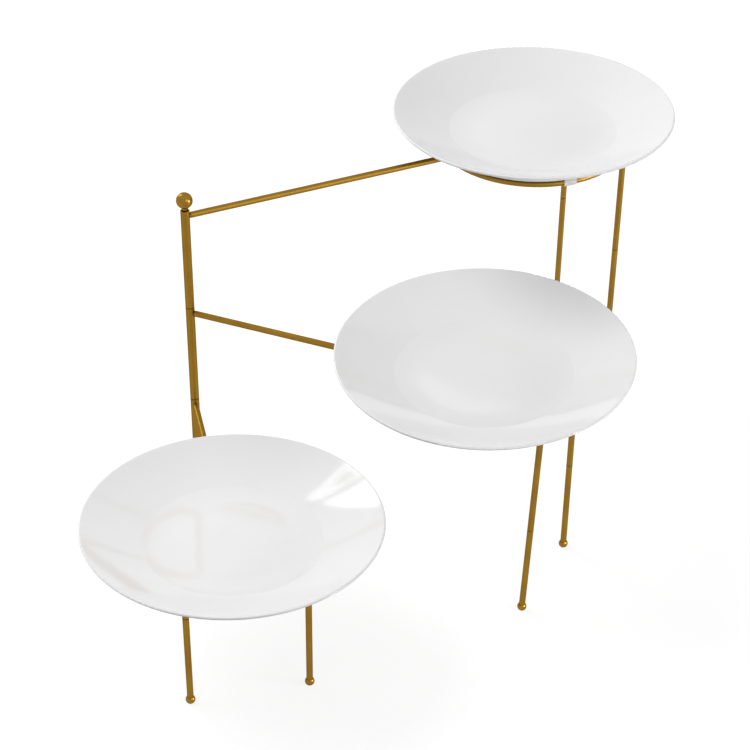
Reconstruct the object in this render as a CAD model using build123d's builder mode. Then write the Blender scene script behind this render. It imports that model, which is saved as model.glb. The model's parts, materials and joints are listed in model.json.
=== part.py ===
from build123d import *
import os
from math import cos, degrees, radians, sin, sqrt, tan

# Tiered swivel plate stand. Three plate tiers turn about one post at the left.
# The origin is on the post's axis at table height, +Z is up, lengths are millimetres.

# Driving dimensions
PLATE_D = 254.0
LOW_RING_Z = 102.0
TIER_PITCH = 100.0
RING_RADIUS = 84.0
RING_ROD_D = 5.6
ROD_D = 5.5
SLEEVE_D = 8.0
SLEEVE_BORE_D = 6.1
SPINDLE_D = 6.0
FINIAL_D = 14.4
LEG_FOOT_D = 8.2
POST_FOOT_D = 12.0

# Each tier's reach from post axis to ring centre, its swing at rest and its leg extensions.
# The rings are welded a little out of level: rise lifts a ring's outer side, roll its left side.
TIERS = {
    "low": {"reach": 208.0, "azimuth": -76.9, "extensions": 0, "rise": 3.2, "roll": -1.0},
    "mid": {"reach": 274.5, "azimuth": -21.1, "extensions": 1, "rise": 0.5, "roll": 1.3},
    "top": {"reach": 335.5, "azimuth": 24.7, "extensions": 2, "rise": 0.0, "roll": -1.2},
}

# Legs stand under the outer half of the ring, this far to each side of the arm's line.
# All are upright but the middle tier's right leg, which leans in under its ring.
LEG_SPREAD = 37.0
LEG_SIDES = {"left": LEG_SPREAD, "right": -LEG_SPREAD}
LEG_LEAN = {("mid", "right"): 3.1}
LEG_SEAM_DROP = 7.0
STUB_TOP_DROP = 1.2
STUD_D = 3.0
STUD_LENGTH = 8.0
FOOT_STUD_LENGTH = 3.6
STUD_FIT = 0.05
STUD_END_ROOM = 0.4
ROD_CHAMFER = 0.4
FOOT_FLAT_CUT = 0.5

# Arms are tapered where they are welded to their sleeve
ARM_ANGLE = 180.0
ARM_END_TAPER = 1.6
ARM_END_INSET = 0.8
ARM_WELD_DEPTH = 0.6

# Sleeves stack on the spindle with a small gap between them
SLEEVE_OVER_ARM = 5.8
SLEEVE_GAP = 0.6
SLEEVE_CHAMFER = 0.35
LOW_SLEEVE_Z = 13.0

# Spindle, finial and post foot
SPINDLE_SEAT_Z = 4.0
SPINDLE_BELOW_MOUTH = 2.5
SPINDLE_CHAMFER = 0.4
FINIAL_CENTRE_OVER_MOUTH = 9.6
FINIAL_NECK_TOP_D = 5.2
FINIAL_NECK_BASE_D = 4.4
FINIAL_STUD_D = 3.6
FINIAL_STUD_LENGTH = 9.0
POST_FOOT_FLAT_CUT = 0.6

# Clear grip sleeves on the ring, placed from the arm's line
BUMPER_ANGLES = (-95.0, 25.0, 145.0)
BUMPER_LENGTH = 11.0
BUMPER_WALL = 0.8
BUMPER_FIT = 0.02
BUMPER_SLIT = 0.7
BUMPER_FLAT = 0.1

# Plate section, heights measured from the plane that its foot ring stands on.
# The flat well turns up gently to its edge, where the rim starts at a clear line.
# The rim's slope grows to the outside. Heights are to the corners before rounding.
RIM_Z = 27.05
RIM_EDGE = 2.7
RIM_TOP_ROUND = 1.2
RIM_BOTTOM_ROUND = 1.1
RIM_INNER_SLOPE = 16.5
RIM_OUTER_SLOPE = 25.5
RIM_CURVE_R = 275.0
RIM_ROOT_THICKNESS = 3.6
WELL_RADIUS = 76.0
WELL_EDGE_Z = 6.9
WELL_EDGE_R = 5.0
WELL_EDGE_SLOPE = 10.5
WELL_CURVE_R = 140.0
WELL_FLOOR_Z = 4.4
FLOOR_UNDERSIDE_Z = 1.0
FLOOR_UNDERSIDE_RADIUS = 64.0
FLOOR_UNDERSIDE_CURVE_R = 40.0
WALL_UNDERSIDE_Z = 4.6
WALL_UNDERSIDE_R = 2.0
FOOT_RING_OUTER = 86.6
FOOT_RING_INNER = 81.4
FOOT_RING_FLARE = 3.4
FOOT_RING_DRAFT = 1.8
FOOT_RING_ROUND = 1.0
FOOT_RING_ROOT_R = 6.0
FOOT_RING_REST = 0.02

SLEEVE_R = SLEEVE_D / 2
ROD_R = ROD_D / 2
RING_ROD_R = RING_ROD_D / 2
STUD_R = STUD_D / 2
BUMPER_R = RING_ROD_R + BUMPER_WALL
BUMPER_TOP = BUMPER_R - BUMPER_FLAT
RING_Z = {name: LOW_RING_Z + TIER_PITCH * level for level, name in enumerate(TIERS)}
SLEEVE_TOP_Z = {name: RING_Z[name] + SLEEVE_OVER_ARM for name in TIERS}
SPINDLE_TOP_Z = SLEEVE_TOP_Z["top"] - SPINDLE_BELOW_MOUTH
UP = Vector(0, 0, 1)

os.makedirs("parts", exist_ok=True)


def save(builder, name):
    """Names a finished piece and writes it."""
    builder.part.label = name
    export_step(builder.part, f"parts/{name}.step")


def heading(azimuth):
    """Level unit vector that points outward from the post."""
    return Vector(cos(radians(azimuth)), sin(radians(azimuth)), 0)


def ring_plane(tier):
    """Plane of a tier's ring at its centre: local x outward along the arm, local z up."""
    outward = heading(TIERS[tier]["azimuth"])
    rise = radians(TIERS[tier]["rise"])
    roll = radians(TIERS[tier]["roll"])
    along = outward * cos(rise) + UP * sin(rise)
    across = UP.cross(outward) * cos(roll) + UP * sin(roll)
    centre = outward * TIERS[tier]["reach"] + UP * RING_Z[tier]
    return Plane(origin=centre, x_dir=along, z_dir=along.cross(across))


def plate_plane(tier):
    """Plane that a tier's plate stands on, just clear of the grip sleeves."""
    return ring_plane(tier).offset(BUMPER_TOP + FOOT_RING_REST)


def ring_point(tier, angle):
    """Point of the ring's centreline, at an angle from the arm's line."""
    return ring_plane(tier).from_local_coords(heading(angle) * RING_RADIUS)


def section_plane(base, angle):
    """Plane square to base through its origin: local x along angle in base, local y its normal."""
    outward = base.x_dir * cos(radians(angle)) + base.y_dir * sin(radians(angle))
    return Plane(origin=base.origin, x_dir=outward, z_dir=outward.cross(base.z_dir))


def sphere_height(radius, section_radius):
    """Height over a sphere's centre at which its section has section_radius."""
    return sqrt(radius**2 - section_radius**2)


class LegLine:
    """Axis of one leg, from the ring's centreline down to its foot."""

    def __init__(self, tier, side):
        outward = heading(TIERS[tier]["azimuth"] + LEG_SIDES[side])
        lean = radians(LEG_LEAN.get((tier, side), 0.0))
        self.tangent = UP.cross(outward)
        self.top = ring_point(tier, LEG_SIDES[side])
        self.up = UP * cos(lean) + outward * sin(lean)

    def at(self, z):
        """Point of the axis at height z."""
        return self.top + self.up * ((z - self.top.Z) / self.up.Z)

    def across(self, point):
        """Plane square to the leg at a point of its axis."""
        return Plane(origin=point, x_dir=self.tangent, z_dir=self.up)

    def along(self, point):
        """Plane through the axis, local y up the leg."""
        return Plane(origin=point, x_dir=self.tangent, z_dir=self.tangent.cross(self.up))


# Post: spindle, finial and foot


def make_spindle():
    with BuildPart() as spindle:
        with BuildSketch(Plane.XY.offset(SPINDLE_SEAT_Z)):
            Circle(SPINDLE_D / 2)
        extrude(amount=SPINDLE_TOP_Z - SPINDLE_SEAT_Z)
        chamfer(spindle.edges().filter_by(GeomType.CIRCLE), SPINDLE_CHAMFER)
        with Locations((0, 0, SPINDLE_TOP_Z)):
            Hole(FINIAL_STUD_D / 2 + STUD_FIT, depth=FINIAL_STUD_LENGTH + STUD_END_ROOM)
    save(spindle, "spindle_rod")


def make_finial():
    """Ball on a tapered neck, with the stud that screws into the spindle."""
    ball_r = FINIAL_D / 2
    neck_r = FINIAL_NECK_TOP_D / 2
    stud_r = FINIAL_STUD_D / 2
    centre_z = SLEEVE_TOP_Z["top"] + FINIAL_CENTRE_OVER_MOUTH
    stud_z = SPINDLE_TOP_Z - FINIAL_STUD_LENGTH
    neck_z = centre_z - sphere_height(ball_r, neck_r)
    with BuildPart() as finial:
        with BuildSketch(Plane.XZ):
            with BuildLine():
                Polyline(
                    (0, centre_z + ball_r),
                    (0, stud_z),
                    (stud_r, stud_z),
                    (stud_r, SPINDLE_TOP_Z),
                    (FINIAL_NECK_BASE_D / 2, SPINDLE_TOP_Z),
                    (neck_r, neck_z),
                )
                ThreePointArc((neck_r, neck_z), (ball_r, centre_z), (0, centre_z + ball_r))
            make_face()
        revolve(axis=Axis.Z)
    save(finial, "finial_ball")


def make_post_foot():
    """Ball foot with a boss under the lowest sleeve and a blind bore for the spindle."""
    ball_r = POST_FOOT_D / 2
    centre_z = ball_r - POST_FOOT_FLAT_CUT
    flat_r = sphere_height(ball_r, centre_z)
    boss_z = LOW_SLEEVE_Z - SLEEVE_GAP
    boss_root_z = centre_z + sphere_height(ball_r, SLEEVE_R)
    bore_r = SPINDLE_D / 2
    with BuildPart() as foot:
        with BuildSketch(Plane.XZ):
            with BuildLine():
                ThreePointArc((flat_r, 0), (ball_r, centre_z), (SLEEVE_R, boss_root_z))
                Polyline(
                    (SLEEVE_R, boss_root_z),
                    (SLEEVE_R, boss_z),
                    (bore_r, boss_z),
                    (bore_r, SPINDLE_SEAT_Z),
                    (0, SPINDLE_SEAT_Z),
                    (0, 0),
                    (flat_r, 0),
                )
            make_face()
        revolve(axis=Axis.Z)
    save(foot, "post_foot")


# Tier frames: sleeve, arm, ring, legs, feet and grip sleeves


def make_sleeve(tier, bottom_z):
    with BuildPart() as sleeve:
        with BuildSketch(Plane.XY.offset(bottom_z)):
            Circle(SLEEVE_R)
        extrude(amount=SLEEVE_TOP_Z[tier] - bottom_z)
        chamfer(sleeve.edges().filter_by(GeomType.CIRCLE), SLEEVE_CHAMFER)
        with Locations((0, 0, SLEEVE_TOP_Z[tier])):
            Hole(SLEEVE_BORE_D / 2)
    save(sleeve, f"{tier}_pivot_sleeve")


def make_arm(tier):
    """Straight rod, coped round the sleeve at one end and round the ring at the other."""
    root = UP * RING_Z[tier]
    run = ring_point(tier, ARM_ANGLE) - root
    along = run.normalized()
    start = SLEEVE_R - ARM_WELD_DEPTH
    with BuildPart() as arm:
        with BuildSketch(Plane(origin=root + along * start, z_dir=along)):
            Circle(ROD_R)
        extrude(amount=run.length - start)
        inner_edge = arm.edges().filter_by(GeomType.CIRCLE).sort_by(lambda e: e.arc_center.length)[0]
        inner_face = arm.faces().filter_by(GeomType.PLANE).sort_by(lambda f: f.center().length)[0]
        chamfer(inner_edge, ARM_END_INSET, ARM_END_TAPER, reference=inner_face)
        with Locations(root):
            Cylinder(SLEEVE_R, 2 * SLEEVE_D, mode=Mode.SUBTRACT)
        with Locations(ring_plane(tier)):
            Torus(RING_RADIUS, RING_ROD_R, mode=Mode.SUBTRACT)
    save(arm, f"{tier}_arm")


def make_ring(tier):
    with BuildPart() as ring:
        with Locations(ring_plane(tier)):
            Torus(RING_RADIUS, RING_ROD_R)
    save(ring, f"{tier}_support_ring")


def make_leg_stub(tier, side, line, seam):
    """Short threaded stub, coped to the underside of the ring."""
    with BuildPart() as stub:
        with BuildSketch(line.across(seam)):
            Circle(ROD_R)
        extrude(amount=(line.top - seam).length - STUB_TOP_DROP)
        lower_edge = stub.edges().filter_by(GeomType.CIRCLE).sort_by(Axis.Z)[0]
        chamfer(lower_edge, ROD_CHAMFER)
        with BuildSketch(line.across(seam)):
            Circle(STUD_R)
        extrude(amount=-STUD_LENGTH)
        with Locations(ring_plane(tier)):
            Torus(RING_RADIUS, RING_ROD_R, mode=Mode.SUBTRACT)
    save(stub, f"{tier}_leg_{side}_stub")


def make_leg_rod(name, line, top, bottom, stud_length):
    """One screwed leg section: threaded hole at its top, threaded stud at its bottom."""
    with BuildPart() as rod:
        with BuildSketch(line.across(bottom)):
            Circle(ROD_R)
        extrude(amount=(top - bottom).length)
        chamfer(rod.edges().filter_by(GeomType.CIRCLE), ROD_CHAMFER)
        with BuildSketch(line.across(bottom)):
            Circle(STUD_R)
        extrude(amount=-stud_length)
        with Locations(line.across(top)):
            Hole(STUD_R + STUD_FIT, depth=STUD_LENGTH + STUD_END_ROOM)
    save(rod, name)


def make_leg_foot(tier, side, line, ball_centre, seat_height):
    """Ball foot, flat where it stands, with a threaded hole for the leg's stud."""
    ball_r = LEG_FOOT_D / 2
    hole_r = STUD_R + STUD_FIT
    hole_bottom = seat_height - FOOT_STUD_LENGTH - STUD_END_ROOM
    with BuildPart() as foot:
        with BuildSketch(line.along(ball_centre)):
            with BuildLine():
                ThreePointArc((0, -ball_r), (ball_r, 0), (ROD_R, seat_height))
                Polyline(
                    (ROD_R, seat_height),
                    (hole_r, seat_height),
                    (hole_r, hole_bottom),
                    (0, hole_bottom),
                    (0, -ball_r),
                )
            make_face()
        revolve(axis=Axis(ball_centre, line.up))
        split(bisect_by=Plane.XY, keep=Keep.TOP)
    save(foot, f"{tier}_leg_{side}_foot")


def make_leg(tier, side):
    """A stub, the tier's extensions one pitch long, the bottom section and its ball foot."""
    line = LegLine(tier, side)
    ball_centre = line.at(LEG_FOOT_D / 2 - FOOT_FLAT_CUT)
    seat_height = sphere_height(LEG_FOOT_D / 2, ROD_R)
    seam_z = RING_Z[tier] - LEG_SEAM_DROP
    make_leg_stub(tier, side, line, line.at(seam_z))
    for number in range(1, TIERS[tier]["extensions"] + 1):
        top = line.at(seam_z)
        seam_z -= TIER_PITCH
        make_leg_rod(f"{tier}_leg_{side}_extension_{number}", line, top, line.at(seam_z), STUD_LENGTH)
    seat = ball_centre + line.up * seat_height
    make_leg_rod(f"{tier}_leg_{side}_bottom", line, line.at(seam_z), seat, FOOT_STUD_LENGTH)
    make_leg_foot(tier, side, line, ball_centre, seat_height)


def make_bumper(tier, number, angle):
    """Clear slit sleeve pressed over the ring's rod, flattened where the plate sits."""
    ring = ring_plane(tier)
    arc = degrees(BUMPER_LENGTH / RING_RADIUS)
    with BuildPart() as bumper:
        with BuildSketch(section_plane(ring, angle - arc / 2)):
            with Locations((RING_RADIUS, 0)):
                Circle(BUMPER_R)
                Circle(RING_ROD_R + BUMPER_FIT, mode=Mode.SUBTRACT)
            with Locations((RING_RADIUS, -BUMPER_R)):
                Rectangle(BUMPER_SLIT, 2 * BUMPER_R, mode=Mode.SUBTRACT)
            with Locations((RING_RADIUS, BUMPER_TOP)):
                Rectangle(BUMPER_R, BUMPER_R, align=(Align.CENTER, Align.MIN), mode=Mode.SUBTRACT)
        revolve(axis=Axis(ring.origin, ring.z_dir), revolution_arc=arc)
    save(bumper, f"{tier}_ring_bumper_{number}")


# Plates


def plate_section():
    """Corners of half the plate's section, from the well's middle out and back under, and their radii."""
    rim_r = PLATE_D / 2
    inner = tan(radians(RIM_INNER_SLOPE))
    outer = tan(radians(RIM_OUTER_SLOPE))
    bend_r = (outer * rim_r - inner * WELL_RADIUS - RIM_Z + WELL_EDGE_Z) / (outer - inner)
    bend_z = WELL_EDGE_Z + inner * (bend_r - WELL_RADIUS)
    floor_corner = WELL_RADIUS - (WELL_EDGE_Z - WELL_FLOOR_Z) / tan(radians(WELL_EDGE_SLOPE))
    foot_root = FOOT_RING_OUTER + FOOT_RING_FLARE
    foot_root_z = WELL_EDGE_Z + inner * (foot_root - WELL_RADIUS) - RIM_ROOT_THICKNESS
    middle_top = (0, WELL_FLOOR_Z)
    middle_underside = (0, FLOOR_UNDERSIDE_Z)
    rounded = {
        (floor_corner, WELL_FLOOR_Z): WELL_CURVE_R,
        (WELL_RADIUS, WELL_EDGE_Z): WELL_EDGE_R,
        (bend_r, bend_z): RIM_CURVE_R,
        (rim_r, RIM_Z): RIM_TOP_ROUND,
        (rim_r, RIM_Z - RIM_EDGE): RIM_BOTTOM_ROUND,
        (foot_root, foot_root_z): FOOT_RING_ROOT_R,
        (FOOT_RING_OUTER, 0): FOOT_RING_ROUND,
        (FOOT_RING_INNER, 0): FOOT_RING_ROUND,
        (FOOT_RING_INNER - FOOT_RING_DRAFT, WALL_UNDERSIDE_Z): WALL_UNDERSIDE_R,
        (FLOOR_UNDERSIDE_RADIUS, FLOOR_UNDERSIDE_Z): FLOOR_UNDERSIDE_CURVE_R,
    }
    return [middle_top, *rounded, middle_underside], list(rounded.values())


def make_plate(tier):
    """Wide-rimmed plate with a flat well and a foot ring that stands on the ring's grip sleeves."""
    base = plate_plane(tier)
    corners, radii = plate_section()
    with BuildPart() as plate:
        with BuildSketch(section_plane(base, 0)):
            with BuildLine():
                FilletPolyline(*corners, radius=radii)
                Line(corners[-1], corners[0])
            make_face()
        revolve(axis=Axis(base.origin, base.z_dir))
    save(plate, f"{tier}_plate")


make_spindle()
make_finial()
make_post_foot()
sleeve_bottom = LOW_SLEEVE_Z
for tier_name in TIERS:
    make_sleeve(tier_name, sleeve_bottom)
    sleeve_bottom = SLEEVE_TOP_Z[tier_name] + SLEEVE_GAP
    make_arm(tier_name)
    make_ring(tier_name)
    for side_name in LEG_SIDES:
        make_leg(tier_name, side_name)
    for bumper_number, bumper_angle in enumerate(BUMPER_ANGLES, start=1):
        make_bumper(tier_name, bumper_number, bumper_angle)
    make_plate(tier_name)
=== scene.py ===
import json
from math import cos, pi, radians, sin

import bmesh
import bpy
from mathutils import Matrix, Vector


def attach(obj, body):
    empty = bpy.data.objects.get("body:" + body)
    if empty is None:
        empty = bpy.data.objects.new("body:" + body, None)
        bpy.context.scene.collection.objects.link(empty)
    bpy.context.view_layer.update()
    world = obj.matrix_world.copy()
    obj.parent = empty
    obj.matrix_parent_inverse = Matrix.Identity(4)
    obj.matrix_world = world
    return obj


# Looks of the tiered cake stand: finishes on the solid parts, weld beads, seams, floor, light and camera.
# All lengths are metres in the part's own frame: +Z up, origin under the post.

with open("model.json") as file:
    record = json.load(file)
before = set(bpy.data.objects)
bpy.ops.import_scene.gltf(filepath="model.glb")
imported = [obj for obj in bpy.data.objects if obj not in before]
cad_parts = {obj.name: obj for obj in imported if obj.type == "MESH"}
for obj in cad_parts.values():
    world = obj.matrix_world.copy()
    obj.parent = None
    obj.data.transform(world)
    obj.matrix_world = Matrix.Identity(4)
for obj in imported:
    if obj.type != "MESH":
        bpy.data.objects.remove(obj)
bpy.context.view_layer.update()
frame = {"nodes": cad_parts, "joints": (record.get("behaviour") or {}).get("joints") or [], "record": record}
record = frame["record"]
nodes = frame["nodes"]

TIERS = ("low", "mid", "top")
UP = Vector((0, 0, 1))

# Sizes of the rods that the weld beads and seams run round
RING_RADIUS = 0.084
RING_ROD_R = 0.0028
ROD_R = 0.00275
SLEEVE_R = 0.004
SLEEVE_TOP_OVER_ARM = 0.0058
SLEEVE_GAP = 0.0006
ARM_END_R = 0.00195
LEG_ANGLES = {"left": radians(37), "right": radians(-37)}
LEG_SEAM_DROP = 0.007
LEG_SECTION = 0.1
FOOT_CENTRE_Z = 0.0036
WELL_FLOOR_OVER_RING = 0.00792

# Camera fitted to the photograph
FOCAL_PIXELS = 2089.8
IMAGE_PIXELS = 750
SENSOR_WIDTH = 36.0
CAMERA_PLACE = (0.16392, -1.52553, 1.24680)
CAMERA_PITCH = 36.07
CAMERA_ROLL = 0.565


def mount(name):
    return next(m for m in record["mounts"] if m["name"] == name)


def tier_height(tier):
    """Height of a tier's arm, from its swivel joint."""
    joint = next(j for j in frame["joints"] if j["name"] == f"{tier}_tier_swivel")
    return joint["pos_m"][2]


class Ring:
    """Place of a tier's support ring, worked out from the plate well above it."""

    def __init__(self, tier):
        well = mount(f"{tier}_plate_well")
        self.axis = Vector(well["axis"]).normalized()
        self.centre = Vector(well["pos_m"]) - self.axis * WELL_FLOOR_OVER_RING
        level = Vector((self.centre.x, self.centre.y, 0)).normalized()
        self.outward = (level - UP * (level.dot(self.axis) / self.axis.z)).normalized()
        self.left = self.axis.cross(self.outward)

    def point(self, angle):
        return self.centre + (self.outward * cos(angle) + self.left * sin(angle)) * RING_RADIUS

    def distance(self, point):
        """How far a point is outside the ring's rod."""
        offset = point - self.centre
        height = offset.dot(self.axis)
        radial = (offset - self.axis * height).length - RING_RADIUS
        return (radial * radial + height * height) ** 0.5 - RING_ROD_R


def sleeve_distance(point):
    """How far a point is outside the sleeves on the post."""
    return Vector((point.x, point.y)).length - SLEEVE_R


# Materials

NOISE_LOW = 0.3
NOISE_HIGH = 0.7
FLAKE_COVER = 0.22
GOLD_EDGE_TINT = (0.55, 0.38, 0.16, 1)


def new_material(name):
    material = bpy.data.materials.new(name)
    material.use_nodes = True
    tree = material.node_tree
    return material, tree, tree.nodes["Principled BSDF"]


def object_noise(tree, scale, detail=2.0, stretch=(1, 1, 1)):
    """Noise fixed to the part, with features about 1/scale metres across."""
    place = tree.nodes.new("ShaderNodeTexCoord")
    mapping = tree.nodes.new("ShaderNodeMapping")
    mapping.inputs["Scale"].default_value = stretch
    noise = tree.nodes.new("ShaderNodeTexNoise")
    noise.inputs["Scale"].default_value = scale
    noise.inputs["Detail"].default_value = detail
    tree.links.new(place.outputs["Object"], mapping.inputs["Vector"])
    tree.links.new(mapping.outputs["Vector"], noise.inputs["Vector"])
    return noise.outputs["Fac"]


def map_range(tree, value, low, high, from_low=NOISE_LOW, from_high=NOISE_HIGH):
    """Spreads a value, by default the range that noise mostly fills, over low to high."""
    node = tree.nodes.new("ShaderNodeMapRange")
    node.inputs["From Min"].default_value = from_low
    node.inputs["From Max"].default_value = from_high
    node.inputs["To Min"].default_value = low
    node.inputs["To Max"].default_value = high
    tree.links.new(value, node.inputs["Value"])
    return node.outputs["Result"]


def mix_colours(tree, factor, first, second):
    node = tree.nodes.new("ShaderNodeMix")
    node.data_type = "RGBA"
    for socket, colour in (("A", first), ("B", second)):
        target = next(s for s in node.inputs if s.name == socket and s.type == "RGBA")
        if isinstance(colour, tuple):
            target.default_value = (*colour, 1)
        else:
            tree.links.new(colour, target)
    tree.links.new(factor, node.inputs[0])
    return next(s for s in node.outputs if s.type == "RGBA")


def add_bump(tree, height, distance, under=None):
    """Bump of the given height in metres, on top of the bump under it."""
    node = tree.nodes.new("ShaderNodeBump")
    node.inputs["Strength"].default_value = 1.0
    node.inputs["Distance"].default_value = distance
    tree.links.new(height, node.inputs["Height"])
    if under is not None:
        tree.links.new(under, node.inputs["Normal"])
    return node.outputs["Normal"]


def gold_paint():
    """Satin gold paint: slow changes of tone, fine flake and a faint orange peel."""
    material, tree, shader = new_material("satin_gold_paint")
    tone = map_range(tree, object_noise(tree, 38), 0, 1)
    flake = map_range(tree, object_noise(tree, 2600, detail=1.0), 0, 1)
    peel = object_noise(tree, 650)
    slow = mix_colours(tree, tone, (0.23, 0.122, 0.011), (0.29, 0.156, 0.015))
    fine = mix_colours(tree, map_range(tree, flake, 0, FLAKE_COVER, 0, 1), slow, (0.46, 0.28, 0.04))
    tree.links.new(fine, shader.inputs["Base Color"])
    tree.links.new(map_range(tree, peel, 0.40, 0.50), shader.inputs["Roughness"])
    peel_normal = add_bump(tree, peel, 0.00002)
    tree.links.new(add_bump(tree, flake, 0.000004, under=peel_normal), shader.inputs["Normal"])
    shader.inputs["Metallic"].default_value = 1.0
    shader.inputs["Specular Tint"].default_value = GOLD_EDGE_TINT
    shader.inputs["Coat Weight"].default_value = 0.12
    shader.inputs["Coat Roughness"].default_value = 0.15
    return material


def polished_gold():
    """Smoother gold of the turned balls, with faint turning marks."""
    material, tree, shader = new_material("polished_gold_ball")
    tone = map_range(tree, object_noise(tree, 120), 0, 1)
    marks = object_noise(tree, 260, stretch=(0.2, 0.2, 9))
    colour = mix_colours(tree, tone, (0.25, 0.132, 0.011), (0.31, 0.168, 0.016))
    tree.links.new(colour, shader.inputs["Base Color"])
    tree.links.new(map_range(tree, marks, 0.20, 0.28), shader.inputs["Roughness"])
    tree.links.new(add_bump(tree, marks, 0.000006), shader.inputs["Normal"])
    shader.inputs["Metallic"].default_value = 1.0
    shader.inputs["Specular Tint"].default_value = GOLD_EDGE_TINT
    shader.inputs["Coat Weight"].default_value = 0.2
    shader.inputs["Coat Roughness"].default_value = 0.12
    return material


def drawn_rod():
    """Drawn rod inside the sleeves, streaked along its length, and coloured near black as painted shade
    where it shows in the gaps between sleeves.
    """
    material, tree, shader = new_material("drawn_rod_painted_shade")
    streaks = object_noise(tree, 900, stretch=(1, 1, 0.03))
    # Near-black tones: painted shade of the sleeve gaps that the rod shows through.
    colour = mix_colours(tree, map_range(tree, streaks, 0, 1), (0.06, 0.032, 0.008), (0.10, 0.055, 0.014))
    tree.links.new(colour, shader.inputs["Base Color"])
    tree.links.new(map_range(tree, streaks, 0.3, 0.45), shader.inputs["Roughness"])
    shader.inputs["Metallic"].default_value = 0.8
    return material


def weld_gold():
    """Gold paint over a rippled weld, darker than the rods as painted shade in the joint, and darkest in the
    bump's hollows as painted shade in the ripples.
    """
    material, tree, shader = new_material("weld_paint_with_painted_shade")
    ripple = object_noise(tree, 1500)
    # Colour follows the bump's height, so the low hollows get the dark end: painted shade.
    colour = mix_colours(tree, map_range(tree, ripple, 0, 1), (0.07, 0.030, 0.006), (0.18, 0.088, 0.010))
    tree.links.new(colour, shader.inputs["Base Color"])
    tree.links.new(map_range(tree, ripple, 0.36, 0.5), shader.inputs["Roughness"])
    tree.links.new(add_bump(tree, ripple, 0.00006), shader.inputs["Normal"])
    shader.inputs["Metallic"].default_value = 0.6
    return material


def seam_shade():
    """Dull brown put down in the screwed seams as painted shadow of their gaps."""
    material, tree, shader = new_material("painted_seam_shadow")
    seam_shadow_noise = object_noise(tree, 1200)
    # Dark browns: painted shadow in the seam gaps, varied a little by noise.
    colour = mix_colours(tree, map_range(tree, seam_shadow_noise, 0, 1), (0.030, 0.017, 0.005), (0.065, 0.036, 0.010))
    tree.links.new(colour, shader.inputs["Base Color"])
    tree.links.new(map_range(tree, seam_shadow_noise, 0.6, 0.8), shader.inputs["Roughness"])
    shader.inputs["Specular IOR Level"].default_value = 0.2
    return material


def white_glaze():
    """Glossy white glaze with a slight ripple and faint changes of tone."""
    material, tree, shader = new_material("glossy_white_glaze")
    cloud = map_range(tree, object_noise(tree, 14, detail=3.0), 0, 1)
    ripple = object_noise(tree, 55, detail=1.0)
    pinholes = object_noise(tree, 1800, detail=0.0)
    colour = mix_colours(tree, cloud, (0.785, 0.783, 0.785), (0.805, 0.803, 0.805))
    tree.links.new(colour, shader.inputs["Base Color"])
    tree.links.new(map_range(tree, pinholes, 0.06, 0.10), shader.inputs["Roughness"])
    ripple_normal = add_bump(tree, ripple, 0.00006)
    tree.links.new(add_bump(tree, pinholes, 0.0000015, under=ripple_normal), shader.inputs["Normal"])
    shader.inputs["IOR"].default_value = 1.5
    return material


def clear_silicone():
    """Cloudy translucent silicone."""
    material, tree, shader = new_material("cloudy_clear_silicone")
    cloud = object_noise(tree, 400)
    colour = mix_colours(tree, map_range(tree, cloud, 0, 1), (0.90, 0.86, 0.85), (0.95, 0.92, 0.91))
    tree.links.new(colour, shader.inputs["Base Color"])
    tree.links.new(map_range(tree, cloud, 0.32, 0.45), shader.inputs["Roughness"])
    shader.inputs["Transmission Weight"].default_value = 0.35
    shader.inputs["IOR"].default_value = 1.41
    return material


def dress_nodes():
    """Gives each solid the finish of its material slot."""
    finishes = {
        "gold_paint": gold_paint(),
        "polished_gold": polished_gold(),
        "steel_rod": drawn_rod(),
        "white_glaze": white_glaze(),
        "clear_silicone": clear_silicone(),
    }
    for subpart in record["subparts"]:
        slots = nodes[subpart["node"]].data.materials
        for index in range(len(slots)):
            slots[index] = finishes[subpart["material_slot"]]


# Weld beads, and dark seam loops of painted shadow

BEAD_STATIONS = 64
BEAD_SIDES = 12
BEAD_R = 0.0005
ROOT_BEAD_R = 0.0006
BEAD_REACH = 0.012
BEAD_RIPPLES = 15
BEAD_RIPPLE_DEPTH = 0.14
BEAD_SWELLS = 4
BEAD_SWELL_START = 1
BEAD_SWELL_SHARE = 0.5
HALVINGS = 40
SEAM_INSET = 0.00022
SEAM_R = 0.0003


def surface_point(start, direction, distance):
    """First point from start along direction where distance falls to zero."""
    low, high = 0.0, BEAD_REACH
    for _ in range(HALVINGS):
        middle = (low + high) / 2
        if distance(start + direction * middle) > 0:
            low = middle
        else:
            high = middle
    return start + direction * low


def make_loop(name, body, axis, section, finish):
    """Closed round loop about axis; section gives its centre and radius at an angle and outward vector."""
    side = axis.orthogonal().normalized()
    other = axis.cross(side)
    bead = bmesh.new()
    rings = []
    for station in range(BEAD_STATIONS):
        angle = 2 * pi * station / BEAD_STATIONS
        radial = side * cos(angle) + other * sin(angle)
        centre, radius = section(angle, radial)
        ring = []
        for step in range(BEAD_SIDES):
            turn = 2 * pi * step / BEAD_SIDES
            ring.append(bead.verts.new(centre + (radial * cos(turn) - axis * sin(turn)) * radius))
        rings.append(ring)
    for station in range(BEAD_STATIONS):
        here = rings[station]
        after = rings[(station + 1) % BEAD_STATIONS]
        for step in range(BEAD_SIDES):
            following = (step + 1) % BEAD_SIDES
            bead.faces.new((here[step], here[following], after[following], after[step]))
    bmesh.ops.recalc_face_normals(bead, faces=bead.faces)
    mesh = bpy.data.meshes.new(name)
    bead.to_mesh(mesh)
    bead.free()
    mesh.polygons.foreach_set("use_smooth", [True] * len(mesh.polygons))
    mesh.materials.append(finish)
    piece = bpy.data.objects.new(name, mesh)
    bpy.context.scene.collection.objects.link(piece)
    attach(piece, body)


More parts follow.
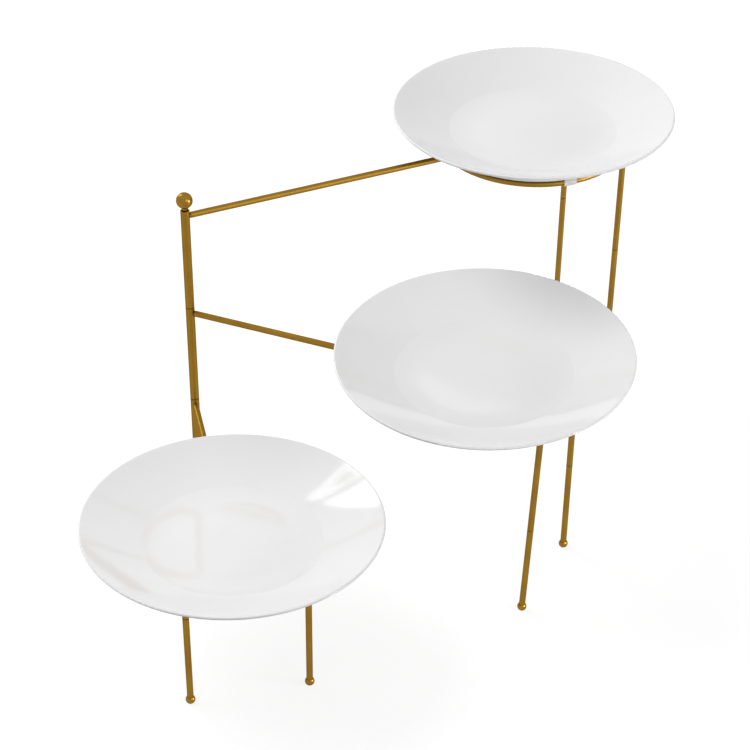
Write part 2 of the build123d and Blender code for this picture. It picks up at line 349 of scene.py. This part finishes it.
def make_bead(name, body, foot, towards, rod_radius, bead_radius, distance, finish):
    """Rippled bead round a rod, where the rod meets the surface that distance measures from.
    foot is on the rod's axis, inside that surface, and towards points along the rod into it."""

    def section(angle, radial):
        centre = surface_point(foot - towards * BEAD_REACH + radial * rod_radius, towards, distance)
        swell = BEAD_SWELL_SHARE * sin(BEAD_SWELLS * angle + BEAD_SWELL_START)
        ripple = sin(BEAD_RIPPLES * angle) + swell
        return centre, bead_radius * (1 + BEAD_RIPPLE_DEPTH * ripple)

    make_loop(name, body, towards, section, finish)


def make_sleeve_seams(finish):
    """Painted shadow: a dark line in the gap over each sleeve that has another sleeve on top."""
    for tier in TIERS[:-1]:
        middle = UP * (tier_height(tier) + SLEEVE_TOP_OVER_ARM + SLEEVE_GAP / 2)

        def section(turn, radial, middle=middle):
            return middle + radial * (SLEEVE_R - SEAM_R), SEAM_R

        make_loop(f"{tier}_sleeve_seam", "post", UP, section, finish)


def make_leg_seams(finish):
    """Painted shadow: a dark line down in each seam where two sections of a leg are screwed together."""
    for level, tier in enumerate(TIERS):
        ring = Ring(tier)
        for side, angle in LEG_ANGLES.items():
            top = ring.point(angle)
            foot = Vector(mount(f"{tier}_leg_{side}_foot_base")["pos_m"]) + UP * FOOT_CENTRE_Z
            up = (top - foot).normalized()
            for number in range(level + 1):
                height = tier_height(tier) - LEG_SEAM_DROP - LEG_SECTION * number
                middle = foot + up * ((height - foot.z) / up.z)

                def section(turn, radial, middle=middle):
                    return middle + radial * (ROD_R - SEAM_INSET), SEAM_R

                make_loop(f"{tier}_leg_{side}_seam_{number + 1}", f"{tier}_tier", up, section, finish)


def make_welds():
    """Beads where each arm meets its sleeve and ring, and where the leg stubs meet the ring."""
    finish = weld_gold()
    for tier in TIERS:
        ring = Ring(tier)
        body = f"{tier}_tier"
        root = UP * tier_height(tier)
        arm_end = ring.point(pi)
        along = (arm_end - root).normalized()
        name = f"{tier}_arm_root_weld"
        make_bead(name, body, root, -along, ARM_END_R, ROOT_BEAD_R, sleeve_distance, finish)
        name = f"{tier}_arm_ring_weld"
        make_bead(name, body, arm_end, along, ROD_R, BEAD_R, ring.distance, finish)
        for side, angle in LEG_ANGLES.items():
            name = f"{tier}_leg_{side}_weld"
            make_bead(name, body, ring.point(angle), UP, ROD_R, BEAD_R, ring.distance, finish)


# Stage: floor, background, lamps and camera

FLOOR_SIZE = 12.0
FLOOR_ALBEDO = 0.25
FLOOR_LIFT = 0.83
AMBIENT = 0.30
STAGE_CENTRE = Vector((0.20, 0.0, 0.20))

# Soft boxes: direction from the stage's centre, distance, width, height and radiance
SOFTBOXES = {
    "left_high": ((-0.60, 0.20, 0.775), 2.5, 2.0, 1.6, 3.9),
    "back_left": ((-0.63, 0.60, 0.49), 2.5, 0.62, 1.9, 3.0),
    "right": ((0.92, -0.38, 0.09), 1.5, 0.5, 0.66, 8.0),
    "front_right": ((0.55, -0.70, 0.45), 2.2, 1.0, 1.0, 1.7),
}
# The large box lights the plates and is left out of their reflections
NOT_MIRRORED = ("left_high",)
RADIANCE_TO_WATTS = 4.0


def seen_directly(tree):
    """One where a ray comes from the camera or through a mirror or glass, else zero."""
    path = tree.nodes.new("ShaderNodeLightPath")
    total = path.outputs["Is Camera Ray"]
    for name in ("Is Glossy Ray", "Is Transmission Ray"):
        node = tree.nodes.new("ShaderNodeMath")
        node.operation = "MAXIMUM"
        tree.links.new(total, node.inputs[0])
        tree.links.new(path.outputs[name], node.inputs[1])
        total = node.outputs[0]
    return total


def make_world():
    """White where it is seen, and a dimmer even fill as a source of light."""
    world = bpy.data.worlds.new("studio")
    bpy.context.scene.world = world
    world.use_nodes = True
    tree = world.node_tree
    ambient = tree.nodes["Background"]
    ambient.inputs["Color"].default_value = (1, 1, 1, 1)
    ambient.inputs["Strength"].default_value = AMBIENT
    white = tree.nodes.new("ShaderNodeBackground")
    white.inputs["Color"].default_value = (1, 1, 1, 1)
    white.inputs["Strength"].default_value = 1.0
    mix = tree.nodes.new("ShaderNodeMixShader")
    tree.links.new(seen_directly(tree), mix.inputs["Fac"])
    tree.links.new(ambient.outputs[0], mix.inputs[1])
    tree.links.new(white.outputs[0], mix.inputs[2])
    tree.links.new(mix.outputs[0], tree.nodes["World Output"].inputs["Surface"])


def floor_finish():
    """Matte white that is lifted to pure white where it is seen, and still takes a shadow."""
    material, tree, shader = new_material("white_floor")
    shader.inputs["Base Color"].default_value = (FLOOR_ALBEDO, FLOOR_ALBEDO, FLOOR_ALBEDO, 1)
    shader.inputs["Roughness"].default_value = 0.9
    shader.inputs["Specular IOR Level"].default_value = 0.0
    lift = tree.nodes.new("ShaderNodeMath")
    lift.operation = "MULTIPLY"
    lift.inputs[1].default_value = FLOOR_LIFT
    tree.links.new(seen_directly(tree), lift.inputs[0])
    shader.inputs["Emission Color"].default_value = (1, 1, 1, 1)
    tree.links.new(lift.outputs[0], shader.inputs["Emission Strength"])
    return material


def make_floor():
    half = FLOOR_SIZE / 2
    corners = [(-half, -half, 0), (half, -half, 0), (half, half, 0), (-half, half, 0)]
    mesh = bpy.data.meshes.new("floor")
    mesh.from_pydata(corners, [], [(0, 1, 2, 3)])
    mesh.materials.append(floor_finish())
    floor = bpy.data.objects.new("floor", mesh)
    bpy.context.scene.collection.objects.link(floor)


def make_lamps():
    for name, (direction, distance, width, height, radiance) in SOFTBOXES.items():
        lamp = bpy.data.lights.new(name, "AREA")
        lamp.shape = "RECTANGLE"
        lamp.size = width
        lamp.size_y = height
        lamp.energy = radiance * width * height * RADIANCE_TO_WATTS
        softbox = bpy.data.objects.new(name, lamp)
        outward = Vector(direction).normalized()
        softbox.location = STAGE_CENTRE + outward * distance
        softbox.rotation_euler = (-outward).to_track_quat("-Z", "Y").to_euler()
        softbox.visible_camera = False
        softbox.visible_glossy = name not in NOT_MIRRORED
        bpy.context.scene.collection.objects.link(softbox)


def make_camera():
    lens = bpy.data.cameras.new("camera")
    lens.sensor_width = SENSOR_WIDTH
    lens.lens = FOCAL_PIXELS / IMAGE_PIXELS * SENSOR_WIDTH
    camera = bpy.data.objects.new("camera", lens)
    tilt = Matrix.Rotation(radians(90 - CAMERA_PITCH), 4, "X")
    roll = Matrix.Rotation(radians(CAMERA_ROLL), 4, "Z")
    camera.matrix_world = Matrix.Translation(CAMERA_PLACE) @ tilt @ roll
    bpy.context.scene.collection.objects.link(camera)
    bpy.context.scene.camera = camera


bpy.context.scene.view_settings.view_transform = "Standard"
dress_nodes()
make_welds()
# Dark loops in the seams: painted shadow of the gaps between sleeves and leg sections.
seam_shadow_finish = seam_shade()
make_sleeve_seams(seam_shadow_finish)
make_leg_seams(seam_shadow_finish)
make_world()
make_floor()
make_lamps()
make_camera()
